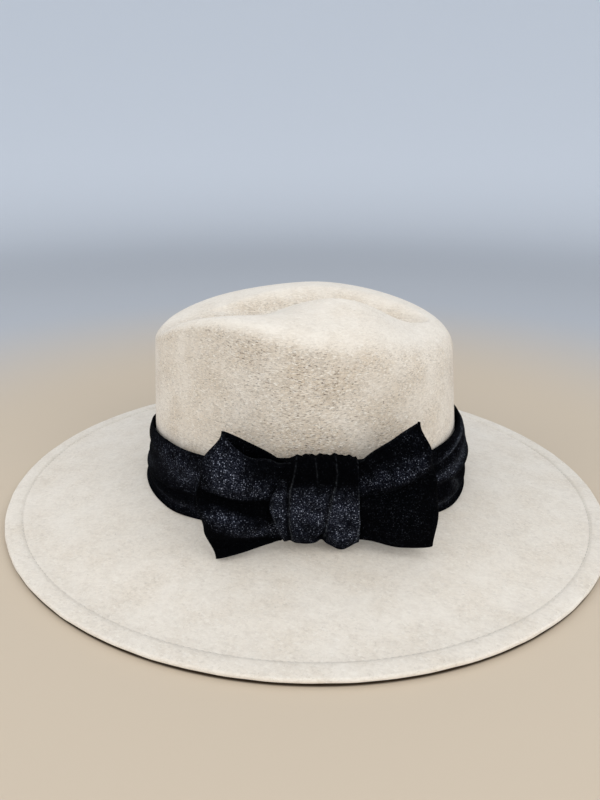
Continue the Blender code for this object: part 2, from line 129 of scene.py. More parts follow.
def wall_normal(angle):
    """Outward direction of the foot oval in plan: each axis divided by its half length."""
    x = np.cos(angle) / np.where(np.cos(angle) < 0.0, CROWN_FRONT, CROWN_BACK)
    y = np.sin(angle) / CROWN_HALF_WIDTH
    return x / np.hypot(x, y), y / np.hypot(x, y)


def foot_flare(height):
    """Quarter circle that carries the wall out into the brim near its foot."""
    above = np.clip((height - FOOT_HEIGHT) / FOOT_RADIUS, 0.0, 1.0)
    return FOOT_RADIUS * (1.0 - np.sqrt(1.0 - (1.0 - above) ** 2))


def top_height(x, y):
    """Undented top: an arch along the hat that rolls off to both sides."""
    front = ARCH_FRONT * (np.abs(x) / CROWN_FRONT) ** 1.8
    back = ARCH_BACK * (np.abs(x) / CROWN_BACK) ** 1.6
    side = ARCH_SIDE * (np.abs(y) / CROWN_HALF_WIDTH) ** 4
    return CROWN_HEIGHT - np.where(x < 0.0, front, back) - side


def dented(x, y, z):
    """Teardrop dent, lumps and finger dents: the teardrop's half width is a sine from its
    point to its widest place and a rounded end behind it, and its sides are eased."""
    upper = ease((z / CROWN_HEIGHT - 0.45) / 0.40)
    share = np.clip((x - DENT_START) / DENT_LENGTH, 0.0, 1.0)
    front = np.sin(0.5 * np.pi * np.clip(share / DENT_WIDEST, 0.0, 1.0)) ** 1.2
    behind = (share - DENT_WIDEST) / (1.0 - DENT_WIDEST)
    back = np.clip(1.0 - behind ** 2, 0.0, 1.0) ** 0.7
    width = np.where(share < DENT_WIDEST, front, back)
    reach = np.abs(y) / np.maximum(DENT_HALF_WIDTH * width, 1e-6)
    new_z = z - np.where(upper > 0.0, DENT_DEPTH * width * ease(1.15 * (1.0 - reach)), 0.0)
    for along, across, spread_along, spread_across, rise in LUMPS:
        far = ((x / CROWN_BACK - along) / spread_along) ** 2
        far = far + ((y / CROWN_HALF_WIDTH - across) / spread_across) ** 2
        new_z = new_z + rise * DENT_DEPTH * upper * np.exp(-0.5 * far)
    new_y = y
    for side, along, spread, depth in PINCHES:
        far = ((x / CROWN_FRONT - along) / spread) ** 2
        far = far + (np.minimum(z / CROWN_HEIGHT - 0.82, 0.0) / 0.33) ** 2
        outer = ease((side * y / CROWN_HALF_WIDTH - 0.24) / 0.54)
        new_y = new_y - side * depth * DENT_DEPTH * outer * np.exp(-0.5 * far)
    return np.stack([x, new_y, new_z], axis=-1)


def brim_surface(angle):
    """Rows of the hem and brim, from the turned edge underneath, round the rim, over the
    stitch groove and up the brim to the crown's foot. The brim rises with the 1.5th power
    of the way in, and two slow waves give it the slack of soft felt."""
    out_x = np.cos(angle) / BRIM_HALF_LENGTH
    out_y = np.sin(angle) / BRIM_HALF_WIDTH
    out_x, out_y = out_x / np.hypot(out_x, out_y), out_y / np.hypot(out_x, out_y)
    rim_x = BRIM_HALF_LENGTH * np.cos(angle)
    rim_y = BRIM_HALF_WIDTH * np.sin(angle)
    half_hem = 0.5 * (HEM_HEIGHT - HEM_LIFT)
    waver = np.sin(23 * angle + 0.7) + np.sin(41 * angle) + np.sin(67 * angle + 2.1)
    waver = RIM_WAVER * waver
    turn = np.radians(np.linspace(0.0, 180.0, 11))[:, None]
    inset = half_hem * (1.0 - np.sin(turn))
    inset = np.concatenate([[[HEM_WIDTH], [0.0070]], inset])
    height = HEM_LIFT + half_hem * (1.0 - np.cos(turn))
    height = np.concatenate([[[0.0], [0.4 * HEM_LIFT]], height])
    beside = np.array([[-0.0018, -0.0011, -0.0006, -0.0002, 0.0001, 0.0004, 0.0008, 0.0013]]).T
    inset = np.concatenate([inset, [[0.0032], [0.0046], [0.0058], [0.0070]], STITCH_INSET + beside])
    height = np.concatenate([height, np.full((12, 1), HEM_HEIGHT)])
    inset = inset + np.clip(1.0 - inset / 0.004, 0.0, 1.0) * (waver + 0.0003)
    groove = np.exp(-0.5 * ((inset - STITCH_INSET) / 0.00055) ** 2)
    plump = np.exp(-0.5 * ((inset - 0.0060) / 0.0026) ** 2)
    on_top = (np.arange(len(inset)) > 12)[:, None]
    height = height + on_top * (HEM_PLUMP * plump - GROOVE_DEPTH * groove)
    height = height - on_top * HEM_STEP * ease((inset - STITCH_INSET + 0.0008) / 0.0025)
    hem = [rim_x - inset * out_x, rim_y - inset * out_y, height + 0.0 * angle]
    hem = np.stack(hem, axis=-1)
    wall_x, wall_y = wall_point(angle, FOOT_HEIGHT)
    normal_x, normal_y = wall_normal(angle)
    foot_x = wall_x + FOOT_RADIUS * normal_x
    foot_y = wall_y + FOOT_RADIUS * normal_y
    share = np.linspace(0.97, 0.03, 34)[:, None]
    x = foot_x + share * (hem[-1, :, 0] - foot_x)
    y = foot_y + share * (hem[-1, :, 1] - foot_y)
    rise = HEM_HEIGHT + (FOOT_HEIGHT - HEM_HEIGHT) * (1.0 - share) ** 1.5
    wave = np.sin(3.0 * angle + 0.6) + 0.4 * np.sin(7.0 * angle + 5.0 * share)
    wave = SLACK * wave * np.sin(np.pi * share)
    z = rise - HEM_STEP * ease((share - 0.55) / 0.42) + wave
    brim = np.stack([x, y, z], axis=-1)
    turn = np.radians(np.linspace(0.0, 78.0, 8))[:, None]
    flare = FOOT_RADIUS * (1.0 - np.sin(turn))
    height = FOOT_HEIGHT + FOOT_RADIUS * (1.0 - np.cos(turn))
    wall_x, wall_y = wall_point(angle, height)
    foot = [wall_x + flare * normal_x, wall_y + flare * normal_y, height + 0.0 * angle]
    return np.concatenate([hem, brim, np.stack(foot, axis=-1)])


def crown_surface(angle):
    """Rows of the crown: the leaning wall, a rounded top edge that is a conic between wall
    and top, and the arched top drawn in towards its middle, all pushed in by the dents."""
    radius = read_table(CORNERS, 1, np.degrees(angle))
    rim_x, rim_y = wall_point(angle, 0.95 * CROWN_HEIGHT)
    inset = 1.0 - radius / np.hypot(rim_x, rim_y)
    edge_x, edge_y = rim_x * inset, rim_y * inset
    edge_z = top_height(edge_x, edge_y)
    step_z = edge_z - top_height(0.98 * edge_x, 0.98 * edge_y)
    slope = step_z / (0.02 * np.hypot(edge_x, edge_y))
    peak_z = edge_z + slope * radius
    peak_x, peak_y = wall_point(angle, peak_z)
    wall_z = peak_z - radius
    start_x, start_y = wall_point(angle, wall_z)
    share = np.linspace(0.0, 0.965, 30)[:, None]
    z = FOOT_HEIGHT + FOOT_RADIUS + share * (wall_z - FOOT_HEIGHT - FOOT_RADIUS)
    x, y = wall_point(angle, z)
    wall = dented(x, y, z)
    share = np.linspace(0.0, 0.92, 12)[:, None]
    start, pull, end = (1.0 - share) ** 2, 1.44 * share * (1.0 - share), share ** 2
    total = start + pull + end
    corner = dented(
        (start * start_x + pull * peak_x + end * edge_x) / total,
        (start * start_y + pull * peak_y + end * edge_y) / total,
        (start * wall_z + pull * peak_z + end * edge_z) / total,
    )
    share = np.linspace(1.0, 0.02, 46)[:, None]
    x, y = edge_x * share, edge_y * share
    return np.concatenate([wall, corner, dented(x, y, top_height(x, y))])


def grid_faces(rows, columns, closed):
    """Four-sided faces between neighbours of a grid, joining its last column to its first."""
    row = np.arange(rows - 1)[:, None] * columns
    column = np.arange(columns if closed else columns - 1)[None, :]
    after = (column + 1) % columns
    below = row + columns
    return np.stack([row + column, row + after, below + after, below + column], -1).reshape(-1, 4)


def new_piece(name, points, faces, material, **attributes):
    """Smooth-shaded mesh object from arrays of points and faces, with float attributes."""
    mesh = bpy.data.meshes.new(name)
    faces = faces.tolist() if isinstance(faces, np.ndarray) else faces
    mesh.from_pydata(np.asarray(points).reshape(-1, 3).tolist(), [], faces)
    for key, values in attributes.items():
        layer = mesh.attributes.new(key, "FLOAT", "POINT")
        layer.data.foreach_set("value", np.asarray(values, np.float32).ravel())
    mesh.materials.append(material)
    mesh.shade_smooth()
    piece = bpy.data.objects.new(name, mesh)
    bpy.context.scene.collection.objects.link(piece)
    return piece


def give_wall(piece, thickness, rounding=0.0):
    """Thicken a skin on its inner side, and round the rims of the wall."""
    wall = piece.modifiers.new("wall", "SOLIDIFY")
    wall.thickness = thickness
    wall.offset = -1.0
    wall.use_even_offset = True
    if rounding > 0.0:
        rim = piece.modifiers.new("rim", "BEVEL")
        rim.width = rounding
        rim.segments = 2
        rim.limit_method = "ANGLE"
        rim.angle_limit = math.radians(60.0)


def put(tree, kind, sockets=None, **properties):
    """Add a shader node; a socket takes a value, or the output of the node that feeds it."""
    node = tree.nodes.new("ShaderNode" + kind)
    for name, value in properties.items():
        setattr(node, name, value)
    for key, value in (sockets or {}).items():
        if isinstance(value, bpy.types.NodeSocket):
            tree.links.new(value, node.inputs[key])
        else:
            node.inputs[key].default_value = value
    return node


def new_material(name, **sockets):
    """Node material whose shader's own sockets take the given values."""
    material = bpy.data.materials.new(name)
    material.use_nodes = True
    shader = material.node_tree.nodes["Principled BSDF"]
    for key, value in sockets.items():
        shader.inputs[key.replace("_", " ")].default_value = value
    return material, material.node_tree, shader


def fibre_lines(tree, place, scale, width, shift):
    """Short thin lines: where a wandering noise crosses its middle value, broken into
    lengths by a second, coarser noise."""
    moved = put(tree, "Mapping", {"Vector": place, "Location": (shift, 0.7 * shift, 0.4 * shift)})
    moved = moved.outputs["Vector"]
    wander = put(tree, "TexNoise", {"Vector": moved, "Scale": scale, "Detail": 1.0,
                                    "Distortion": 1.4}).outputs["Fac"]
    off = put(tree, "Math", {0: wander, 1: 0.5}, operation="SUBTRACT").outputs[0]
    off = put(tree, "Math", {0: off}, operation="ABSOLUTE").outputs[0]
    line = put(tree, "MapRange", {"Value": off, "From Max": width, "To Min": 1.0, "To Max": 0.0},
               interpolation_type="SMOOTHSTEP").outputs[0]
    lengths = put(tree, "TexNoise", {"Vector": moved, "Scale": 0.7 * scale, "Detail": 0.0})
    bits = put(tree, "MapRange", {"Value": lengths.outputs["Fac"], "From Min": 0.50,
                                  "From Max": 0.60}).outputs[0]
    return put(tree, "Math", {0: line, 1: bits}, operation="MULTIPLY").outputs[0]


def dashes(tree, place, scale, low, high, shift):
    """Short level marks: a noise drawn out round the hat, kept where it is highest."""
    moved = put(tree, "Mapping", {"Vector": place, "Location": (shift, 0.7 * shift, 0.4 * shift),
                                  "Rotation": (0.16, -0.12, 0.5), "Scale": (1.0, 1.5, 3.6)})
    noise = put(tree, "TexNoise", {"Vector": moved.outputs["Vector"], "Scale": scale,
                                   "Detail": 2.0, "Roughness": 0.6}).outputs["Fac"]
    return put(tree, "MapRange", {"Value": noise, "From Min": low, "From Max": high}).outputs[0]


FELT_CREAM = (0.800, 0.750, 0.670, 1.0)
FELT_TAN = (0.620, 0.520, 0.395, 1.0)
FELT_GREY = (0.480, 0.420, 0.350, 1.0)
FELT_WHITE = (0.900, 0.870, 0.800, 1.0)
FIBRE_BROWN = (0.170, 0.135, 0.105, 1.0)
felt, tree, shader = new_material("pressed_wool_felt", Roughness=0.95, Sheen_Weight=0.25,
                                  Sheen_Roughness=0.6, Specular_IOR_Level=0.15)
shader.inputs["Sheen Tint"].default_value = (1.0, 0.97, 0.92, 1.0)
place = put(tree, "TexCoord").outputs["Object"]
cloud = put(tree, "TexNoise", {"Vector": place, "Scale": 60.0, "Detail": 3.0}).outputs["Fac"]
heather = put(tree, "TexNoise", {"Vector": place, "Scale": 430.0, "Detail": 4.0,
                                 "Roughness": 0.7}).outputs["Fac"]
grain = put(tree, "TexNoise", {"Vector": place, "Scale": 1500.0, "Detail": 3.0,
                               "Roughness": 0.7}).outputs["Fac"]
blotch = put(tree, "TexNoise", {"Vector": place, "Scale": 26.0, "Detail": 2.0}).outputs["Fac"]
# The share of grey heather is read from the mesh. It is partly the wool's own mix and partly
# painted shade on the walls and in the dent, so the tan, grey and fibre layers below carry that
# painted shade too.
heather_and_shade_amount = put(tree, "Attribute", attribute_name="grey_wool").outputs["Fac"]
patchy = put(tree, "MapRange", {"Value": cloud, "From Min": 0.30, "From Max": 0.70,
                                "To Min": 0.74, "To Max": 1.26}).outputs[0]
heather_and_shade_amount = put(tree, "Math", {0: heather_and_shade_amount, 1: patchy}, operation="MULTIPLY").outputs[0]
brown_fibres = fibre_lines(tree, place, 520.0, 0.040, 3.1)
white_fibres = fibre_lines(tree, place, 640.0, 0.040, 15.7)
grey_dashes = dashes(tree, place, 460.0, 0.48, 0.62, 8.3)
brown_dashes = dashes(tree, place, 520.0, 0.56, 0.68, 21.9)
white_dashes = dashes(tree, place, 480.0, 0.54, 0.66, 33.4)
soft_strokes = dashes(tree, place, 170.0, 0.46, 0.66, 51.2)
specks = put(tree, "TexVoronoi", {"Vector": place, "Scale": 420.0})
dot = put(tree, "MapRange", {"Value": specks.outputs["Distance"], "From Min": 0.10,
                             "From Max": 0.26, "To Min": 1.0, "To Max": 0.0}).outputs[0]
chosen = put(tree, "SeparateColor", {"Color": specks.outputs["Color"]}).outputs[0]
chosen = put(tree, "MapRange", {"Value": chosen, "From Min": 0.955, "From Max": 0.99}).outputs[0]
dot = put(tree, "Math", {0: dot, 1: chosen}, operation="MULTIPLY").outputs[0]
tan = put(tree, "Math", {0: blotch, 1: cloud}, operation="ADD").outputs[0]
tan = put(tree, "MapRange", {"Value": tan, "From Min": 0.70, "From Max": 1.30,
                             "To Min": 0.45, "To Max": 0.95}).outputs[0]
tan = put(tree, "Math", {0: tan, 1: heather_and_shade_amount}, operation="MULTIPLY").outputs[0]
colour = put(tree, "Mix", {0: tan, 6: FELT_CREAM, 7: FELT_TAN}, data_type="RGBA").outputs[2]
mottle = put(tree, "MapRange", {"Value": heather, "From Min": 0.36, "From Max": 0.66}).outputs[0]
for marks, strength, power, tint in (
        (soft_strokes, 0.22, 0.3, FELT_GREY), (mottle, 0.30, 1.0, FELT_GREY),
        (white_dashes, 0.60, 1.0, FELT_WHITE),
        (grey_dashes, 0.60, 1.5, FELT_GREY), (white_fibres, 0.60, 1.0, FELT_WHITE),
        (brown_dashes, 0.70, 1.9, FIBRE_BROWN), (brown_fibres, 0.34, 1.1, FIBRE_BROWN),
        (dot, 0.80, 1.5, FIBRE_BROWN)):
    amount = put(tree, "Math", {0: heather_and_shade_amount, 1: power}, operation="POWER").outputs[0]
    share = put(tree, "Math", {0: marks, 1: strength}, operation="MULTIPLY").outputs[0]
    share = put(tree, "Math", {0: share, 1: amount}, operation="MULTIPLY").outputs[0]
    colour = put(tree, "Mix", {0: share, 6: colour, 7: tint}, data_type="RGBA").outputs[2]
tree.links.new(colour, shader.inputs["Base Color"])
relief = put(tree, "Math", {0: grain, 1: heather}, operation="ADD").outputs[0]
relief = put(tree, "Math", {0: relief, 1: white_fibres}, operation="ADD").outputs[0]
bump = put(tree, "Bump", {"Height": relief, "Strength": 0.35, "Distance": 0.00035})
tree.links.new(bump.outputs["Normal"], shader.inputs["Normal"])

felt_angle = np.linspace(-np.pi, np.pi, FELT_COLUMNS, endpoint=False)[None, :]
felt_skin = np.concatenate([brim_surface(felt_angle), crown_surface(felt_angle)])
crown_middle = dented(np.zeros(1), np.zeros(1), top_height(np.zeros(1), np.zeros(1)))
rows, columns = felt_skin.shape[:2]
last = (rows - 1) * columns + np.arange(columns)
fan = np.stack([last, (rows - 1) * columns + (np.arange(columns) + 1) % columns,
                np.full(columns, rows * columns)], axis=-1)
felt_points = np.concatenate([felt_skin.reshape(-1, 3), crown_middle])
felt_faces = grid_faces(rows, columns, True).tolist() + fan.tolist()
round_step = np.roll(felt_skin, -1, axis=1) - np.roll(felt_skin, 1, axis=1)
facing = np.cross(round_step, np.gradient(felt_skin, axis=0))
upward = facing[..., 2] / np.maximum(np.linalg.norm(facing, axis=-1), 1e-12)
# Grey heather per point: a base share everywhere as the wool's own mix, and more as painted shade.
# The steep walls get it because they stand darker than the top, the wearer's left facing the camera
# gets the most, and the sunken parts of the top get it as well.
steep = (1.0 - ease((upward - 0.02) / 0.85)) * (felt_skin[..., 2] > 0.014)
near_side = np.exp(-((np.degrees(felt_angle) + 83.0) / 33.0) ** 2)
sunk = ease((top_height(*np.moveaxis(felt_skin[..., :2], -1, 0)) - felt_skin[..., 2]) / 0.012)
sunk = sunk * ease((felt_skin[..., 2] - 0.080) / 0.015) * (1.0 - steep)
grey_wool = 0.36 + steep * (0.38 + 0.36 * near_side) + 0.50 * sunk
grey_wool = np.append(grey_wool.ravel(), grey_wool[-1].mean())
hat_felt = new_piece("felt_crown_and_brim", felt_points, felt_faces, felt, grey_wool=grey_wool)
give_wall(hat_felt, FELT)
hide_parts("felt_body")
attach(hat_felt, "root")

# Hem stitching: one row of machine stitches that holds the turned-under edge, about 10 mm
# in from the rim. It is fine cotton thread in a pale grey-beige, drawn down into the felt,
# and in places so far that it nearly disappears.
STITCH_PITCH = 0.0031
STITCH_LENGTH = 0.0025
STITCH_ARCH = -0.00022
THREAD_RADIUS = 0.00017
THREAD_PALE = (0.64, 0.60, 0.53, 1.0)
THREAD_DARK = (0.42, 0.39, 0.34, 1.0)


def small_tubes(middle, along, across, up, lengths, radius, bend, sides, steps):
    """Many short closed tubes at once: each is a straight run along its direction, bent
    towards its up direction by bend times the square of the way along, and its radius
    falls as a half circle at both ends."""
    way = np.linspace(-1.0, 1.0, steps)[None, :, None, None]
    turn = np.linspace(0.0, 2.0 * np.pi, sides, endpoint=False)[None, None, :, None]
    thin = np.sqrt(np.clip(1.02 - way ** 4, 0.0, 1.0))
    spread = lambda values: np.asarray(values)[:, None, None, :]
    size = np.asarray(radius).reshape(-1, 1, 1, 1) * thin
    points = spread(middle) + 0.5 * np.asarray(lengths).reshape(-1, 1, 1, 1) * way * spread(along)
    points = points + np.asarray(bend).reshape(-1, 1, 1, 1) * way ** 2 * spread(up)
    points = points + size * (np.cos(turn) * spread(across) + np.sin(turn) * spread(up))
    ring = grid_faces(steps, sides, True)
    start = (np.arange(len(points)) * steps * sides)[:, None]
    faces = (start[:, :, None] + ring[None]).reshape(-1, 4).tolist()
    faces += (start + np.arange(sides)[::-1][None]).tolist()
    faces += (start + (steps - 1) * sides + np.arange(sides)[None]).tolist()
    return points.reshape(-1, 3), faces


thread, tree, shader = new_material("cotton_thread", Roughness=0.75, Specular_IOR_Level=0.3)
place = put(tree, "TexCoord").outputs["Object"]
ply = put(tree, "TexNoise", {"Vector": place, "Scale": 2600.0, "Detail": 2.0}).outputs["Fac"]
colour = put(tree, "Mix", {0: ply, 6: THREAD_PALE, 7: THREAD_DARK}, data_type="RGBA").outputs[2]
tree.links.new(colour, shader.inputs["Base Color"])
bump = put(tree, "Bump", {"Height": ply, "Strength": 0.4, "Distance": 0.0001})
tree.links.new(bump.outputs["Normal"], shader.inputs["Normal"])

round_angle = np.linspace(-np.pi, np.pi, 4001)
line_x = (BRIM_HALF_LENGTH - STITCH_INSET) * np.cos(round_angle)
line_y = (BRIM_HALF_WIDTH - STITCH_INSET) * np.sin(round_angle)
run = np.concatenate([[0.0], np.cumsum(np.hypot(np.diff(line_x), np.diff(line_y)))])
stitch_count = int(run[-1] / STITCH_PITCH)
where = (np.arange(stitch_count) + 0.5) * run[-1] / stitch_count
stitch_angle = np.interp(where, run, round_angle)
out_x = np.cos(stitch_angle) / BRIM_HALF_LENGTH
out_y = np.sin(stitch_angle) / BRIM_HALF_WIDTH
out_x, out_y = out_x / np.hypot(out_x, out_y), out_y / np.hypot(out_x, out_y)
sunk_stitch = np.sin(9.0 * stitch_angle + 1.0) + np.sin(23.0 * stitch_angle) + 1.0
level = HEM_HEIGHT - GROOVE_DEPTH - 0.00006 * np.clip(sunk_stitch, 0.0, 2.0)
stitch_x = BRIM_HALF_LENGTH * np.cos(stitch_angle) - STITCH_INSET * out_x
stitch_y = BRIM_HALF_WIDTH * np.sin(stitch_angle) - STITCH_INSET * out_y
stitch_middle = np.stack([stitch_x, stitch_y, level], -1)
across = np.stack([out_x, out_y, np.zeros(stitch_count)], -1)
along = np.stack([-out_y, out_x, np.zeros(stitch_count)], -1)
up = np.tile([0.0, 0.0, 1.0], (stitch_count, 1))
points, faces = small_tubes(
    stitch_middle, along, across, up, np.full(stitch_count, STITCH_LENGTH),
    np.full(stitch_count, THREAD_RADIUS), np.full(stitch_count, STITCH_ARCH), 6, 6)
stitches = new_piece("hem_stitching", points, faces, thread)
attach(stitches, "root")

# Loose fibres: the brushed surface of wool felt lets go of fine single hairs. Most lie
# nearly flat, some stand a little off the surface, and a few of them are grey or brown.
FIBRE_COUNT = 7000
RIM_SHARE = 0.22
WOOL_PALE = (0.86, 0.82, 0.74, 1.0)
WOOL_DARK = (0.36, 0.31, 0.26, 1.0)
fibre_draw = np.random.default_rng(41)


def picked(skin, count, first_row):
    """Random places on a grid surface, even by area: (points, directions round the hat,
    outward normals), from the differences between neighbouring points."""
    round_step = np.roll(skin, -1, axis=1) - skin
    up_step = np.concatenate([np.diff(skin, axis=0), skin[-1:] - skin[-2:-1]])
    normal = np.cross(round_step, up_step)
    area = np.linalg.norm(normal, axis=-1)
    area[:first_row] = 0.0
    area[-3:] = 0.0
    chance = np.cumsum(area.ravel()) / area.sum()
    spot = np.searchsorted(chance, fibre_draw.random(count))
    spot = np.minimum(spot, area.size - 1)
    shift = fibre_draw.random((count, 2))
    flat_round, flat_up = round_step.reshape(-1, 3)[spot], up_step.reshape(-1, 3)[spot]
    point = skin.reshape(-1, 3)[spot] + shift[:, :1] * flat_round + shift[:, 1:] * flat_up
    outward = normal.reshape(-1, 3)[spot]
    outward = outward / np.linalg.norm(outward, axis=1, keepdims=True)
    direction = flat_round / np.linalg.norm(flat_round, axis=1, keepdims=True)
    return point, direction, outward


rim_count = int(RIM_SHARE * FIBRE_COUNT)
rim_place = picked(felt_skin[:16], rim_count, 7)
skin_place = picked(felt_skin, FIBRE_COUNT - rim_count, 14)
point, direction, outward = (np.concatenate(pair) for pair in zip(rim_place, skin_place))
sideways = np.cross(outward, direction)
turn = fibre_draw.uniform(0.0, np.pi, FIBRE_COUNT)[:, None]
lie = np.cos(turn) * direction + np.sin(turn) * sideways
tilt = fibre_draw.uniform(-0.04, 0.22, FIBRE_COUNT)[:, None]
lie = lie + tilt * outward
lie = lie / np.linalg.norm(lie, axis=1, keepdims=True)
side = np.cross(outward, lie)
side = side / np.linalg.norm(side, axis=1, keepdims=True)
raised = np.cross(lie, side)
fibre_length = fibre_draw.uniform(0.0009, 0.0024, FIBRE_COUNT)
fibre_bend = fibre_draw.uniform(-0.00035, 0.00015, FIBRE_COUNT)
fibre_radius = fibre_draw.uniform(0.000016, 0.000030, FIBRE_COUNT)
lifted = point + outward * (0.00003 + 0.45 * fibre_length[:, None] * np.maximum(tilt, 0.0))
points, faces = small_tubes(lifted, lie, side, raised, fibre_length, fibre_radius, fibre_bend,
                            3, 4)
shade = np.repeat(fibre_draw.random(FIBRE_COUNT), 12)
fibre_wool, tree, shader = new_material("wool_fibre", Roughness=0.8, Specular_IOR_Level=0.2)
tone = put(tree, "Attribute", attribute_name="shade").outputs["Fac"]
dark = put(tree, "MapRange", {"Value": tone, "From Min": 0.80, "From Max": 0.86}).outputs[0]
colour = put(tree, "Mix", {0: dark, 6: WOOL_PALE, 7: WOOL_DARK}, data_type="RGBA").outputs[2]
tree.links.new(colour, shader.inputs["Base Color"])
fibres = new_piece("loose_felt_fibres", points, faces, fibre_wool, shade=shade)
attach(fibres, "root")

# Band: a strip of black velvet cut on the cross, its long edges turned in, drawn round the
# foot of the crown in soft lengthwise folds and sewn down at a few hidden points.
VELVET = 0.0014
SEAM_GAP = 0.0003
LEAST_SHEEN = 0.03
VELVET_BLACK = (0.0006, 0.0007, 0.0010, 1.0)
VELVET_SHEEN_NAVY = (0.0070, 0.0084, 0.0140, 1.0)
VELVET_CREST_HIGHLIGHT = (0.056, 0.061, 0.068, 1.0)
GLINT_PALE = (0.66, 0.72, 0.88, 1.0)
GLINT_DIM = (0.16, 0.175, 0.23, 1.0)
TURNED_EDGE = 0.0004
BAND_HEIGHT = 0.0400
BAND_PUFF = 0.0040
BAND_ROWS = 60
BAND_COLUMNS = 480
# bearing, bottom and top edge over the crown's foot in metres, and the rise of the low,
# middle and high fold as shares of BAND_PUFF
BAND_FOLDS = np.array([
    (-180, 0.0015, 0.0328, 1.1, 0.40, 0.45), (-155, 0.0012, 0.0368, 1.0, 0.55, 0.55),
    (-130, 0.0012, 0.0388, 1.0, 0.45, 0.50), (-105, 0.0030, 0.0400, 0.7, 0.40, 0.35),
    (-75, 0.0054, 0.0396, 0.2, 0.15, 0.10), (-45, 0.0036, 0.0392, 0.6, 0.40, 0.30),
    (-20, 0.0016, 0.0406, 1.0, 1.40, 0.70), (5, 0.0016, 0.0432, 0.9, 1.60, 1.10),
    (60, 0.0024, 0.0408, 0.8, 0.90, 0.70), (120, 0.0024, 0.0392, 1.0, 0.50, 0.70),
    (180, 0.0015, 0.0328, 1.1, 0.40, 0.45),
])
# start bearing and height share, end bearing and height share, spread, rise in metres
BAND_CREASES = (
    (-166, 0.15, -108, 0.34, 0.030, -0.0022), (-150, 0.44, -108, 0.62, 0.090, 0.0006),
    (-50, 0.70, 8, 0.84, 0.035, -0.0014), (-52, 0.47, 6, 0.36, 0.045, -0.0020),
    (-44, 0.24, 2, 0.22, 0.060, 0.0006), (-12, 0.55, 52, 0.60, 0.040, -0.0013),
    (20, 0.30, 96, 0.38, 0.040, -0.0016), (60, 0.72, 124, 0.66, 0.035, -0.0012),
    (104, 0.36, 168, 0.42, 0.045, -0.0016), (132, 0.78, 178, 0.70, 0.040, -0.0011),
    (-179, 0.60, -146, 0.66, 0.045, -0.0010),
)
# painted sheen on the band: bearing, height share, spread of each, slant, and how strongly
# the velvet is painted lit, with a minus where painted shade darkens a crease; the crest
# highlights are thin painted highlights along the fold crests
BAND_SHEEN = (
    (-121, 0.68, 9.0, 0.15, 0.0, 0.62), (-133, 0.82, 10.0, 0.10, 0.0, 0.28),
    (-124, 0.13, 10.0, 0.05, 0.0, 0.32), (-136, 0.24, 18.0, 0.030, 0.0031, -0.70),
    (-16, 0.86, 10.0, 0.028, 0.004, 0.90),
    (-22, 0.60, 14.0, 0.050, 0.004, 0.60), (-27, 0.14, 9.0, 0.045, 0.0, 0.45),
    (30, 0.80, 22.0, 0.060, 0.0, 0.55), (34, 0.45, 20.0, 0.060, 0.0, 0.40),
    (84, 0.55, 20.0, 0.070, 0.0, 0.50), (140, 0.56, 20.0, 0.080, 0.0, 0.50),
    (150, 0.20, 22.0, 0.060, 0.0, 0.40), (-168, 0.42, 16.0, 0.090, 0.0, 0.35),
)
BAND_CREST_HIGHLIGHTS = (
    (-13, 0.86, 7.0, 0.020, 0.004, 1.00), (-16, 0.64, 9.0, 0.030, 0.004, 0.42),
    (-20, 0.33, 1.6, 0.090, 0.0, 0.45),
    (-26, 0.14, 8.0, 0.024, 0.0, 0.26), (-124, 0.62, 10.0, 0.050, 0.0, 0.06),
    (36, 0.80, 20.0, 0.030, 0.0, 0.25), (88, 0.55, 20.0, 0.030, 0.0, 0.20),
    (142, 0.56, 20.0, 0.030, 0.0, 0.20), (-168, 0.42, 16.0, 0.030, 0.0, 0.15),
)


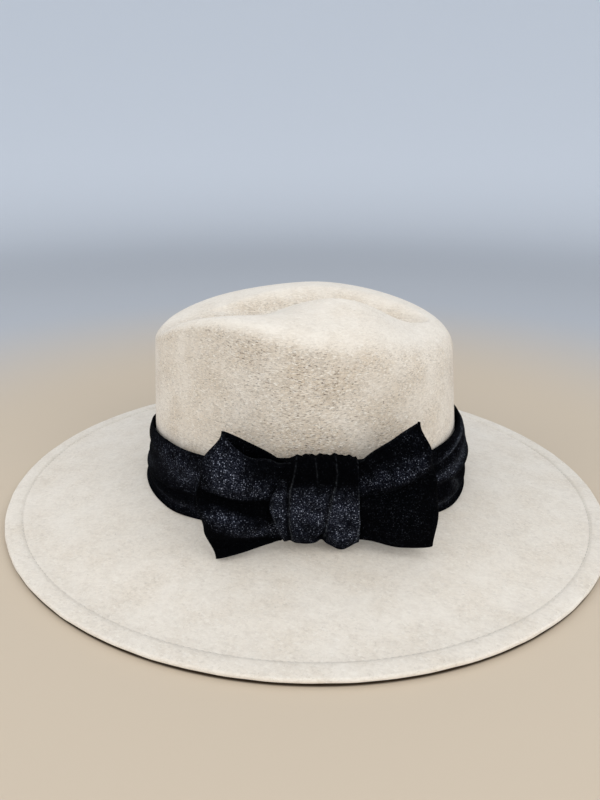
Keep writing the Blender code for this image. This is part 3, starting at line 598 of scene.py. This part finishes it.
def velvet_material():
    """Short-pile black velvet with painted light. A float attribute gives the painted sheen:
    where it is high the black turns to deep navy with pale painted glints on single tufts,
    and where it is low, painted shade keeps it black. The edge attribute marks fold crests,
    where a fine paler line is a painted highlight."""
    velvet, tree, shader = new_material("black_velvet_pile", Roughness=0.85, Sheen_Weight=0.005,
                                        Sheen_Roughness=0.35, Specular_IOR_Level=0.008)
    shader.inputs["Sheen Tint"].default_value = (0.45, 0.52, 0.75, 1.0)
    place = put(tree, "TexCoord").outputs["Object"]
    pile = put(tree, "Attribute", attribute_name="pile").outputs["Fac"]
    edge = put(tree, "Attribute", attribute_name="edge").outputs["Fac"]
    # A slow noise breaks up the painted sheen.
    sheen_breakup = put(tree, "TexNoise", {"Vector": place, "Scale": 170.0, "Detail": 3.0}).outputs["Fac"]
    sheen_breakup = put(tree, "MapRange", {"Value": sheen_breakup, "From Min": 0.34, "From Max": 0.62,
                                     "To Min": 0.25}).outputs[0]
    sheen_amount = put(tree, "Math", {0: pile, 1: sheen_breakup}, operation="MULTIPLY").outputs[0]
    colour = put(tree, "Mix", {0: sheen_amount, 6: VELVET_BLACK, 7: VELVET_SHEEN_NAVY}, data_type="RGBA")
    colour = colour.outputs[2]
    heights = []
    for scale, size, least, pale in ((1350.0, 0.44, 0.60, GLINT_PALE),
                                     (2100.0, 0.50, 0.28, GLINT_DIM)):
        tuft = put(tree, "TexVoronoi", {"Vector": place, "Scale": scale})
        dot = put(tree, "MapRange", {"Value": tuft.outputs["Distance"], "From Min": 0.3 * size,
                                     "From Max": size, "To Min": 1.0, "To Max": 0.0}).outputs[0]
        luck = put(tree, "SeparateColor", {"Color": tuft.outputs["Color"]}).outputs[0]
        luck = put(tree, "MapRange", {"Value": luck, "From Min": least}).outputs[0]
        glint = put(tree, "Math", {0: dot, 1: luck}, operation="MULTIPLY").outputs[0]
        shown = put(tree, "MapRange", {"Value": sheen_amount, "To Min": 0.012, "To Max": 1.0}).outputs[0]
        glint = put(tree, "Math", {0: glint, 1: shown}, operation="MULTIPLY").outputs[0]
        colour = put(tree, "Mix", {0: glint, 6: colour, 7: pale}, data_type="RGBA").outputs[2]
        heights.append(dot)
    # The crest lines are painted highlights, broken up by a noise.
    highlight_breakup = put(tree, "TexNoise", {"Vector": place, "Scale": 620.0, "Detail": 2.0}).outputs["Fac"]
    highlight_breakup = put(tree, "MapRange", {"Value": highlight_breakup, "From Min": 0.35, "From Max": 0.65}).outputs[0]
    crest_highlight = put(tree, "Math", {0: edge, 1: highlight_breakup}, operation="MULTIPLY").outputs[0]
    colour = put(tree, "Mix", {0: crest_highlight, 6: colour, 7: VELVET_CREST_HIGHLIGHT}, data_type="RGBA").outputs[2]
    tree.links.new(colour, shader.inputs["Base Color"])
    relief = put(tree, "Math", {0: heights[0], 1: heights[1]}, operation="ADD").outputs[0]
    bump = put(tree, "Bump", {"Height": relief, "Strength": 0.45, "Distance": 0.00025})
    tree.links.new(bump.outputs["Normal"], shader.inputs["Normal"])
    return velvet


def band_skin(angle, share):
    """Outer face of the band: the wall moved out by the velvet, the foot's flare and three
    lengthwise swellings, each a bell curve over the height."""
    bearing = np.degrees(angle)
    bottom = FOOT_HEIGHT + read_table(BAND_FOLDS, 1, bearing)
    top = FOOT_HEIGHT + read_table(BAND_FOLDS, 2, bearing)
    z = bottom + share * (top - bottom)
    puff = 0.0
    for column, centre in ((3, 0.22), (4, 0.52), (5, 0.82)):
        swell = np.exp(-0.5 * ((share - centre) / 0.12) ** 2)
        puff = puff + read_table(BAND_FOLDS, column, bearing) * swell
    stand = SEAM_GAP + VELVET + 1.6 * foot_flare(z) + BAND_PUFF * puff
    crease = 0.0
    for start, low, end, high, spread, rise in BAND_CREASES:
        way = np.clip((bearing - start) / (end - start), 0.0, 1.0)
        line = np.exp(-0.5 * ((share - low - way * (high - low)) / spread) ** 2)
        crease = crease + rise * line * np.sin(np.pi * way) ** 0.7
    stand = np.maximum(stand + crease, SEAM_GAP + VELVET + 1.6 * foot_flare(z))
    x, y = wall_point(angle, z)
    normal_x, normal_y = wall_normal(angle)
    return np.stack([x + stand * normal_x, y + stand * normal_y, z], axis=-1)


velvet = velvet_material()
band_angle = np.linspace(-np.pi, np.pi, BAND_COLUMNS, endpoint=False)[None, :]
band_share = np.linspace(0.0, 1.0, BAND_ROWS)[:, None]
band_points = band_skin(band_angle, band_share)


def band_shine(places):
    """Sum of oval bell curves over the band's bearing and height."""
    total = 0.0 * band_points[..., 0]
    for bearing, height, spread_round, spread_up, slant, shine in places:
        way = np.degrees(band_angle) - bearing
        far = (way / spread_round) ** 2 + ((band_share - height - slant * way) / spread_up) ** 2
        total = total + shine * np.exp(-0.5 * far)
    return np.clip(total, 0.0, 1.0)


# The band carries the painted sheen and the painted crest highlights.
band = new_piece("velvet_band", band_points, grid_faces(BAND_ROWS, BAND_COLUMNS, True), velvet,
                 pile=LEAST_SHEEN + band_shine(BAND_SHEEN), edge=band_shine(BAND_CREST_HIGHLIGHTS))
give_wall(band, VELVET, TURNED_EDGE)
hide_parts("hat_band")
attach(band, "root")

# Bow loops: two flattened rings of the same velvet, one to each side, whose ends are caught
# under the knot. Each ring is open at its top and bottom, so that from above the inside of
# its back half shows behind the lower front edge.
BOW_BEARING = 13.0
BOW_HEIGHT = 0.0670
LOOP_DEPTH = 0.0120
KNOT_HEIGHT = 0.0465
KNOT_LENGTH = 0.0420
KNOT_DEPTH = 0.0130
KNOT_BOTTOM = FOOT_HEIGHT + 0.0060
WAIST_DROP = 0.0026
WAIST_DROP_START = 0.0172
WAIST_DROP_LENGTH = 0.0024
LOOP_TURNS = 150
LOOP_ROWS = 66
# height share, reach of the left loop and of the right loop from the bow's middle in metres
LOOP_REACH = np.array([
    (0.00, 0.0525, 0.0575), (0.25, 0.0578, 0.0590), (0.50, 0.0605, 0.0572),
    (0.75, 0.0575, 0.0536), (1.00, 0.0470, 0.0469),
])


def bow_place():
    """Middle of the bow on the crown's wall, its outward direction and its length."""
    bearing = math.radians(BOW_BEARING)
    outward = np.array([math.sin(bearing), -math.cos(bearing), 0.0])
    along = np.array([math.cos(bearing), math.sin(bearing), 0.0])
    angle = math.atan2(-math.cos(bearing) * CROWN_HALF_WIDTH, math.sin(bearing) * CROWN_BACK)
    x, y = wall_point(np.array(angle), FOOT_HEIGHT + 0.5 * BAND_HEIGHT)
    return np.array([float(x), float(y), 0.0]), outward, along


def to_hat(along_shift, out_shift, height):
    """Turn places in the bow's own frame into places on the hat."""
    middle, outward, along = bow_place()
    points = middle + np.multiply.outer(along_shift, along)
    points = points + np.multiply.outer(out_shift, outward)
    points[..., 2] = height
    return points


def shine_at(patches, along, height):
    """Sum of slanted oval bell curves, one for each place where the velvet is painted lit, or
    painted dark where the strength has a minus.
    """
    total = LEAST_SHEEN + 0.0 * along * height
    for centre, level, spread_along, spread_up, slant, strength in patches:
        turn = math.radians(slant)
        right, up = along - centre, height - level
        far = ((right * math.cos(turn) + up * math.sin(turn)) / spread_along) ** 2
        far = far + ((up * math.cos(turn) - right * math.sin(turn)) / spread_up) ** 2
        total = total + strength * np.exp(-0.5 * far)
    return np.clip(total, 0.0, 1.0)


def knot_back():
    """Place of the knot's back over the crown's wall: one seam gap clear of the band."""
    middle, outward, along = bow_place()
    x, y, z = np.moveaxis(band_skin(band_angle, band_share), -1, 0)
    stand = (x - middle[0]) * outward[0] + (y - middle[1]) * outward[1]
    edge = np.clip(np.abs(2.0 * (z - KNOT_BOTTOM) / KNOT_HEIGHT - 1.0), 0.0, 1.0)
    rounding = 0.5 * KNOT_DEPTH * (1.0 - (1.0 - edge ** 4) ** 0.25)
    return float((stand - rounding).max()) + SEAM_GAP


def make_loop(name, side, column, low, high, kick, dip, press, folds, patches):
    """One loop on a grid of turns round its ring and rows up its height. The ring is a
    flattened oval from the knot to the outer fold. Its height grows from the waist to the
    corners, its lower edge drops a little at the knot's side, its front top edge dips, and
    its front carries slanted bell-shaped folds."""
    turn = np.linspace(0.0, 2.0 * np.pi, LOOP_TURNS, endpoint=False)[None, :]
    row = np.linspace(0.0, 1.0, LOOP_ROWS)[:, None]
    across = 0.5 - 0.5 * np.cos(turn)
    depth = np.sign(np.sin(turn)) * np.abs(np.sin(turn)) ** 0.7
    front = np.clip(depth, 0.0, 1.0)
    outer = read_table(LOOP_REACH, column, row)
    along = 2.0 * SEAM_GAP + across * (outer - 2.0 * SEAM_GAP)
    half_knot = 0.5 * KNOT_LENGTH
    open_share = np.clip((along - half_knot) / (outer - half_knot), 0.0, 1.0)
    waist_bottom = KNOT_BOTTOM + 0.06 * KNOT_HEIGHT
    waist_top = KNOT_BOTTOM + 0.95 * KNOT_HEIGHT
    drop = ease((along - WAIST_DROP_START) / WAIST_DROP_LENGTH)
    waist_bottom = waist_bottom - WAIST_DROP * drop
    bottom = waist_bottom + open_share ** 0.9 * (FOOT_HEIGHT + BOW_HEIGHT * low - waist_bottom)
    top = waist_top + open_share ** 0.9 * (FOOT_HEIGHT + BOW_HEIGHT * high - waist_top)
    top = top - dip * front * np.sin(np.pi * open_share ** 1.3)
    height = bottom + row * (top - bottom)
    waist = KNOT_DEPTH - 2.0 * VELVET - 0.0010 - 2.0 * SEAM_GAP
    opening = ease(open_share / 0.6)
    half_depth = 0.5 * (waist + opening * (LOOP_DEPTH - waist))
    squeeze = 1.0 - 0.30 * (2.0 * row - 1.0) ** 4 - press * ease((row - 0.50) / 0.50)
    middle = knot_back() + VELVET + SEAM_GAP + 0.5 * waist
    middle = middle + LOOP_DEPTH * (0.2 * opening + kick * open_share * (1.0 - row))
    out = middle + half_depth * squeeze * depth
    for start, end, spread, rise in folds:
        ridge = np.exp(-0.5 * ((row - start - open_share * (end - start)) / spread) ** 2)
        out = out + rise * LOOP_DEPTH * ridge * opening * front
    gathers = np.sin(2.0 * np.pi * (6.3 * row + 0.4 * np.sin(5.0 * row)))
    near_knot = np.sin(np.pi * np.clip(open_share / 0.45, 0.0, 1.0)) * (1.0 - open_share)
    out = out + 0.00050 * gathers * near_knot * front
    points = to_hat(side * along, out, height)
    faces = grid_faces(LOOP_ROWS, LOOP_TURNS, True)
    if side < 0:
        faces = faces[:, ::-1]
    # Painted light: the painted sheen from the patches lies mostly on the front half, with the back
    # half in painted shade, and a thin painted highlight runs along the front's top and bottom
    # edges.
    pile = shine_at(patches, 1000.0 * side * along, 1000.0 * height) * (0.15 + 0.85 * front)
    rim = np.clip(1.0 - np.minimum(row, 1.0 - row) / 0.012, 0.0, 1.0) * front * 0.12
    piece = new_piece(name, points, faces, velvet, pile=pile, edge=rim + 0.0 * pile)
    give_wall(piece, VELVET, TURNED_EDGE)
    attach(piece, "root")
    return piece


# folds: start height at the knot, end height at the outer fold, spread, rise share
# patches: painted sheen, place along the bow and over the table in millimetres, spreads,
# slant, strength, with a minus for painted shade in a crease
left_loop = make_loop(
    "bow_loop_left", side=-1, column=1, low=-0.010, high=1.00, kick=0.42, dip=0.0040, press=0.0,
    folds=((0.62, 0.80, 0.16, 0.30), (0.48, 0.55, 0.045, -0.52), (0.28, 0.40, 0.11, 0.36),
           (0.05, 0.12, 0.08, -0.36), (0.66, 0.60, 0.05, -0.16)),
    patches=((-46, 69, 5.5, 8.0, 0, 1.0), (-46, 57, 6.5, 6.0, 0, 0.85),
             (-33, 49.5, 12.0, 3.2, -7, 0.75), (-46, 36, 8.0, 3.6, -24, 0.85),
             (-30, 26.0, 10.0, 2.4, -8, 0.65), (-37, 41.5, 15.0, 2.0, -14, -1.0),
             (-40, 19.0, 14.0, 3.6, -16, -0.8)),
)
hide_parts("bow_left_loop")
right_loop = make_loop(
    "bow_loop_right", side=1, column=2, low=0.060, high=1.06, kick=0.20, dip=-0.0010, press=0.50,
    folds=((0.62, 0.74, 0.09, 0.40), (0.50, 0.62, 0.045, -0.46), (0.25, 0.30, 0.22, 0.18),
           (0.82, 0.93, 0.05, -0.12)),
    patches=((34, 56.5, 12.0, 2.6, 28, 0.55), (48, 64, 6.0, 3.0, 26, 0.25),
             (43, 76, 4.0, 3.0, 0, 0.14), (42, 38, 10.0, 7.0, 0, 0.03)),
)
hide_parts("bow_right_loop")

# Knot: a short piece of the velvet wrapped round the bow's waist and closed behind it. It
# is pleated from top to bottom, so its top edge is scalloped and its lower half bellies
# out, with a small lip and two lobes at the bottom.
KNOT_TURNS = 168
KNOT_COLUMNS = 150
KNOT_INNER_REACH = 0.0176
# height share, left and right edge of the front from the bow's middle in metres
KNOT_SIDES = np.array([
    (0.00, 0.0181, 0.0199), (0.25, 0.0227, 0.0198), (0.50, 0.0252, 0.0190),
    (0.80, 0.0202, 0.0181), (1.00, 0.0160, 0.0181),
])
# each pleat's line from top to bottom as (height, along) in millimetres, how far down from
# the top it runs, its depth in metres and how strong the painted highlight on its crest is
PLEATS = (
    ((67, -18.0), (55, -20.5), (49, -23.0), (42, -24.0), (33, -22.5), (21, -18.0), 1.0, 0.0, 0.5),
    ((67, -11.0), (56, -13.0), (49, -14.8), (39, -15.2), (29, -15.2), (21, -14.0),
     1.0, 0.0015, 0.9),
    ((68, -3.0), (60, -2.0), (56, -1.6), (50, -1.4), (30, -1.2), (20, -1.0), 0.3, 0.0006, 0.5),
    ((67, 7.0), (58, 7.9), (51, 7.2), (45, 5.6), (33, 4.0), (20, 2.0), 1.0, 0.0011, 0.8),
    ((65, 17.6), (56, 18.4), (44, 18.8), (35, 19.4), (28, 19.4), (21, 18.8), 1.0, 0.0, 0.9),
)
# painted sheen on the knot: place along the bow and height in millimetres, spreads, slant,
# strength, with a minus for painted shade on its upper half
KNOT_SHEEN = (
    (-19, 40, 4.0, 7.5, 0, 0.85), (-5, 38, 9.5, 7.5, 0, 0.90), (12, 35, 8.0, 8.0, 0, 0.95),
    (7, 22, 8.0, 4.0, 0, 0.60), (-10, 24, 5.0, 3.5, 0, 0.45), (0, 64, 24.0, 12.0, 0, -0.22),
)


def make_knot():
    """The wrap on a grid of turns round the bow and columns along it. Its section is a
    rounded rectangle, its front is drawn in to the edge table, and each pleat is a sharp
    furrow beside a raised crest."""
    turn = np.linspace(0.0, 2.0 * np.pi, KNOT_TURNS, endpoint=False)[None, :]
    column = np.linspace(-0.5, 0.5, KNOT_COLUMNS)[:, None]
    cosine, sine = np.cos(turn), np.sin(turn)
    rise = np.sign(sine) * np.abs(sine) ** 0.5
    face = np.sign(cosine) * np.abs(cosine) ** 0.5
    level = 0.5 + 0.5 * rise
    lobes = 0.0053 * np.exp(-0.5 * ((column - 0.28) / 0.12) ** 2)
    lobes = lobes + 0.0016 * np.exp(-0.5 * ((column + 0.18) / 0.13) ** 2)
    lobes = lobes - 0.0012 * np.exp(-0.5 * ((column - 0.02) / 0.035) ** 2)
    height = KNOT_BOTTOM + KNOT_HEIGHT * level - lobes * (1.0 - ease(2.5 * level))
    scallop = 0.00035 * np.sin(33.0 * column + 0.8) + 0.00030 * np.sin(61.0 * column + 2.0)
    scallop = scallop - 0.0022 * ease((-column - 0.24) / 0.26)
    scallop = scallop - 0.0012 * ease((column - 0.2) / 0.3)
    height = height + scallop * ease((level - 0.8) / 0.2)
    out = knot_back() + 0.5 * KNOT_DEPTH * (1.0 + face)
    outer = ease(0.5 + 0.5 * face)
    left, right = (read_table(KNOT_SIDES, number, level) for number in (1, 2))
    reach = np.where(column < 0.0, left, right)
    along = 2.0 * column * (KNOT_INNER_REACH + (reach - KNOT_INNER_REACH) * outer)
    out = out + 0.0006 * np.exp(-0.5 * ((level - 0.38) / 0.22) ** 2) * outer
    crest_highlight = 0.0 * along * height
    furrow_shade = 0.0 * crest_highlight
    # The painted crest highlights are dimmer on the knot's upper half.
    dimmed = 0.85 - 0.45 * ease((level - 0.55) / 0.4)
    for *line, run_down, depth, pale in PLEATS:
        line = np.array(line) / 1000.0
        centre = np.interp(height, line[::-1, 0], line[::-1, 1])
        shown = ease((level - 1.0 + run_down) / 0.15) if run_down < 1.0 else 1.0
        furrow = np.exp(-0.5 * ((along - centre + 0.0009) / 0.0011) ** 2)
        ridge = np.exp(-0.5 * ((along - centre - 0.0009) / 0.0013) ** 2)
        out = out + depth * (0.35 * ridge - furrow) * outer * shown
        furrow_shade = np.maximum(furrow_shade, furrow * shown * min(depth / 0.0012, 1.0))
        highlight_line = np.exp(-0.5 * ((along - centre) / 0.00022) ** 2)
        crest_highlight = crest_highlight + pale * highlight_line * shown * outer * dimmed
    lip = ((level - 0.150) / 0.035) ** 2 + ((column + 0.01) / 0.12) ** 2
    lip = np.exp(-0.5 * lip)
    pocket = ((level - 0.075) / 0.032) ** 2 + ((column - 0.02) / 0.09) ** 2
    pocket = np.exp(-0.5 * pocket)
    out = out + (0.0006 * lip - 0.0022 * pocket) * outer
    points = to_hat(along, out, height)
    # Painted light: the painted sheen from the table, weaker on the sides and back, with painted
    # shade in the pocket under the lip and in the pleats' furrows.
    pile = shine_at(KNOT_SHEEN, 1000.0 * along, 1000.0 * height)
    pile = pile * (0.25 + 0.75 * outer) * (1.0 - 0.95 * pocket) * (1.0 - 0.8 * furrow_shade)
    faces = grid_faces(KNOT_COLUMNS, KNOT_TURNS, True)[:, ::-1]
    crest_highlight = np.clip(crest_highlight, 0.0, 1.0)
    piece = new_piece("bow_knot_wrap", points, faces, velvet, pile=pile, edge=crest_highlight)
    give_wall(piece, VELVET)
    return piece


knot = make_knot()
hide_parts("bow_knot")
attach(knot, "root")

# Floor: a plain pale surface that the hat rests on, swept up all round. It is warmer near
# the hat and cooler far from it, so that the pale felt stands out against it, and its far
# part is painted paler to make up for the lamps' fall-off. Under the hat it carries a
# painted shadow, dark all under the brim, where next to no light gets in below the rim.
FLOOR_NEAR = (0.58, 0.49, 0.38, 1.0)
FLOOR_MIDDLE = (0.46, 0.48, 0.51, 1.0)
FLOOR_FAR = (0.82, 0.85, 0.89, 1.0)
FLOOR_PAINTED_SHADOW = (0.050, 0.034, 0.020, 1.0)
FLOOR_FLAT = 1.3
SWEEP_REACH = 1.8
floor_paint, tree, shader = new_material("floor_paint", Roughness=0.8, Specular_IOR_Level=0.2)
place = put(tree, "TexCoord").outputs["Object"]
distance = put(tree, "VectorMath", {0: place}, operation="LENGTH").outputs["Value"]
colour = FLOOR_NEAR
for near, far, tone in ((0.24, 0.60, FLOOR_MIDDLE), (0.80, 2.20, FLOOR_FAR)):
    share = put(tree, "MapRange", {"Value": distance, "From Min": near, "From Max": far},
                interpolation_type="SMOOTHSTEP").outputs[0]
    colour = put(tree, "Mix", {0: share, 6: colour, 7: tone}, data_type="RGBA").outputs[2]
# Painted shadow under the hat: dark inside the brim's oval, fading out just inside its rim.
brim_scale = (1.0 / BRIM_HALF_LENGTH, 1.0 / BRIM_HALF_WIDTH, 0.0)
plan = put(tree, "VectorMath", {0: place, 1: brim_scale}, operation="MULTIPLY").outputs["Vector"]
plan = put(tree, "VectorMath", {0: plan}, operation="LENGTH").outputs["Value"]
painted_shadow = put(tree, "MapRange", {"Value": plan, "From Min": 0.991, "From Max": 0.998, "To Min": 1.0,
                               "To Max": 0.0}, interpolation_type="SMOOTHSTEP").outputs[0]
colour = put(tree, "Mix", {0: painted_shadow, 6: colour, 7: FLOOR_PAINTED_SHADOW}, data_type="RGBA").outputs[2]
tree.links.new(colour, shader.inputs["Base Color"])
ring = np.radians(np.arange(0.0, 360.0, 5.0))[None, :]
sweep = np.radians(np.linspace(0.0, 85.0, 18))[:, None]
reach = np.concatenate([[[0.001], [0.6], [1.2]], FLOOR_FLAT + SWEEP_REACH * np.sin(sweep)])
raised = np.concatenate([[[0.0], [0.0], [0.0]], SWEEP_REACH * (1.0 - np.cos(sweep))])
floor_points = [reach * np.cos(ring), reach * np.sin(ring), raised - 0.0002 + 0.0 * ring]
floor_points = np.stack(floor_points, -1)
floor_faces = grid_faces(len(reach), 72, True).tolist() + [list(range(72))]
floor = new_piece("studio_floor", floor_points, floor_faces, floor_paint)

# Light: a pale room, a wide soft box overhead, one to each side and a low one in front, all
# of them weak, so that the top is brightest and the near wall of the crown is darkest.
ROOM_COLOUR = (0.80, 0.86, 0.95, 1.0)
ROOM_STRENGTH = 0.71
world = bpy.data.worlds.new("pale_room")
world.use_nodes = True
backdrop = world.node_tree.nodes["Background"]
backdrop.inputs["Color"].default_value = ROOM_COLOUR
backdrop.inputs["Strength"].default_value = ROOM_STRENGTH
bpy.context.scene.world = world
bpy.context.scene.view_settings.view_transform = "Standard"
# name, place in metres, side length in metres, power in watts, colour
SOFT_BOXES = (
    ("soft_box_overhead", (0.10, 0.04, 1.30), 1.6, 3.6, (1.0, 0.985, 0.965)),
    ("soft_box_right", (1.05, -0.55, 0.75), 1.0, 6.1, (1.0, 0.975, 0.94)),
    ("soft_box_left", (-1.05, -0.55, 0.75), 1.0, 5.1, (1.0, 0.965, 0.92)),
    ("soft_box_near", (0.20, -1.25, 0.52), 1.2, 5.8, (1.0, 0.95, 0.88)),
)
for name, spot, size, power, tint in SOFT_BOXES:
    lamp = bpy.data.lights.new(name, "AREA")
    lamp.size = size
    lamp.energy = power
    lamp.color = tint
    holder = bpy.data.objects.new(name, lamp)
    holder.location = spot
    aim = np.array([0.0, 0.0, 0.06]) - np.array(spot)
    holder.rotation_euler = (math.acos(-aim[2] / np.linalg.norm(aim)), 0.0,
                             math.atan2(aim[1], aim[0]) - 0.5 * math.pi)
    bpy.context.scene.collection.objects.link(holder)

# Camera: at the photograph's place, about 0.35 m from the crown's middle and 0.2 m over the
# table, looking 21.6 degrees down, with the bow's side of the hat turned to it.
CAMERA_PLACE = (0.07093874, -0.34485222, 0.1966)
FOCAL_PIXELS = 600.0
HORIZON_PIXELS = 237.0
heading = math.radians(11.8)
dip = math.atan2(HORIZON_PIXELS, FOCAL_PIXELS)
lens = bpy.data.cameras.new("photo_camera")
lens.lens = 27.0
lens.sensor_width = 36.0
camera = bpy.data.objects.new("photo_camera", lens)
camera.location = CAMERA_PLACE
camera.rotation_euler = (0.5 * math.pi - dip, 0.0, heading)
bpy.context.scene.collection.objects.link(camera)
bpy.context.scene.camera = camera
